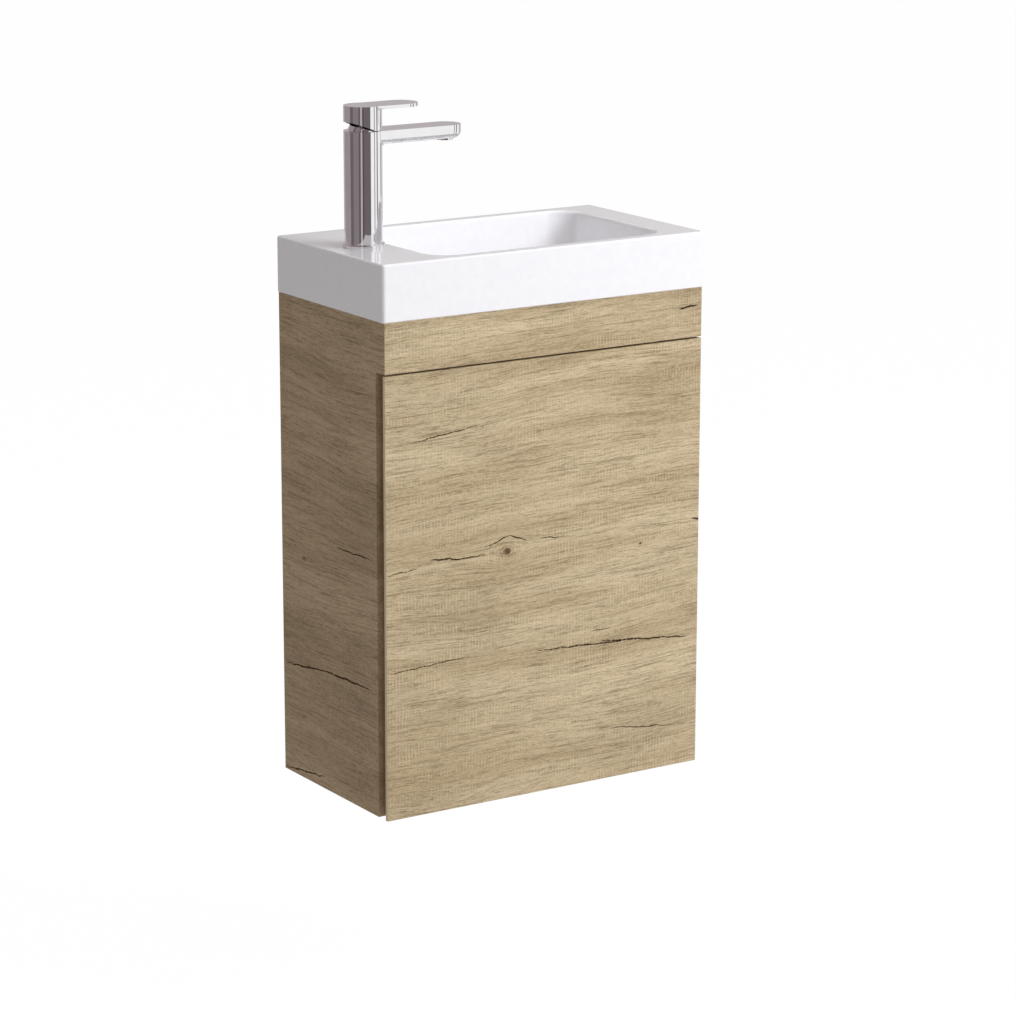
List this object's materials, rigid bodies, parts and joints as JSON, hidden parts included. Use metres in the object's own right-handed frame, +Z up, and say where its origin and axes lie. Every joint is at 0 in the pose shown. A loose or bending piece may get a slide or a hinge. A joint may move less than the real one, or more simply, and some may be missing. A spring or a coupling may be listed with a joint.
{
  "type": "wall-hung vanity unit",
  "caption": "Compact wall-hung vanity unit: white ceramic basin with a side tap deck and a single-lever tap, on an oak-look cabinet with a hinged door below a fixed strip.",
  "frame": {"origin": "midway between the two wall screws, on the wall plane", "axes": "+X to the right, +Y into the wall, +Z up; the door faces -Y"},
  "size_m": [0.4, 0.22, 0.737],
  "materials": {
    "glazed_ware": "white glaze fired on vitreous china",
    "oak_board": "oak-look laminate on chipboard",
    "oak_door": "oak-look laminate on chipboard with a bevelled edge",
    "beech": "plain turned beech",
    "white_plastic": "moulded white polypropylene",
    "zinc_steel": "zinc-plated steel",
    "die_cast_zinc": "die-cast zinc alloy, as cast",
    "nickel_steel": "nickel-plated steel",
    "chrome": "polished chrome on brass",
    "brass": "turned brass",
    "stainless": "turned stainless steel",
    "black_rubber": "black nitrile rubber",
    "dark_plastic": "moulded dark plastic",
    "clear_bumper": "soft clear dots",
    "indicator": "two-colour plug"
  },
  "bodies": {
    "cabinet": {"apron_panel": "oak_board", "assembly_dowels": "beech", "basin": "glazed_ware", "bottom_panel": "oak_board", "cam_bolts": "zinc_steel", "cam_locks": "die_cast_zinc", "carcass_screws": "zinc_steel", "corner_blocks": "white_plastic", "door_bumpers": "clear_bumper", "hangers": "white_plastic", "hinge_arm_lower": "nickel_steel", "hinge_arm_pins": "nickel_steel", "hinge_arm_upper": "nickel_steel", "hinge_plate_screws": "nickel_steel", "hinge_plates": "nickel_steel", "outlet_pipe": "white_plastic", "rear_rail_lower": "oak_board", "rear_rail_upper": "oak_board", "shelf": "oak_board", "shelf_pins": "zinc_steel", "side_panel_left": "oak_board", "side_panel_right": "oak_board", "tap_aerator": "chrome", "tap_aerator_mesh": "dark_plastic", "tap_base_gasket": "black_rubber", "tap_base_ring": "chrome", "tap_body": "chrome", "tap_cartridge": "dark_plastic", "tap_clamp_gasket": "black_rubber", "tap_clamp_plate": "zinc_steel", "tap_dome_nut": "chrome", "tap_fixing_nut": "brass", "tap_fixing_stud": "brass", "trap_body": "white_plastic", "trap_cup": "white_plastic", "trap_inlet_nut": "white_plastic", "trap_outlet_nut": "white_plastic", "wall_plates": "zinc_steel", "waste_body": "chrome", "waste_gaskets": "black_rubber", "waste_locknut": "white_plastic", "waste_plug_guide": "dark_plastic"},
    "door_links": {"hinge_link_upper": "nickel_steel", "hinge_link_lower": "nickel_steel"},
    "door": {"door_panel": "oak_door", "hinge_cup_upper": "nickel_steel", "hinge_cup_lower": "nickel_steel", "hinge_cup_pins": "nickel_steel", "hinge_cup_screws": "nickel_steel"},
    "lever_carrier": {"tap_swivel_carrier": "dark_plastic", "tap_tilt_pin": "stainless"},
    "lever": {"tap_lever": "chrome", "tap_spindle": "stainless", "tap_grub_screw": "brass", "tap_indicator_plug": "indicator"},
    "plug": {"waste_plug_cap": "chrome", "waste_plug_stem": "brass", "waste_plug_seal": "black_rubber"}
  },
  "joints": [
    {"name": "hinge_link_turn", "type": "hinge", "parent": "cabinet", "child": "door_links", "pos_m": [0.1655, -0.208, -0.0755], "axis": [0, 0, 1], "range_deg": [-31.5, 0]},
    {"name": "door_swing", "type": "hinge", "parent": "door_links", "child": "door", "pos_m": [0.1865, -0.2095, -0.0755], "axis": [0, 0, 1], "range_deg": [0, 126]},
    {"name": "lever_swivel", "type": "hinge", "parent": "cabinet", "child": "lever_carrier", "pos_m": [-0.157, -0.11, 0.248], "axis": [0, 0, 1], "range_deg": [-45, 45]},
    {"name": "lever_lift", "type": "hinge", "parent": "lever_carrier", "child": "lever", "pos_m": [-0.157, -0.11, 0.248], "axis": [0, -1, 0], "range_deg": [0, 20]},
    {"name": "plug_lift", "type": "slide", "parent": "cabinet", "child": "plug", "axis": [0, 0, 1], "range_m": [0, 0.008]}
  ],
  "couplings": [
    {"joint": "hinge_link_turn", "follows": "door_swing", "ratio": -0.25}
  ]
}
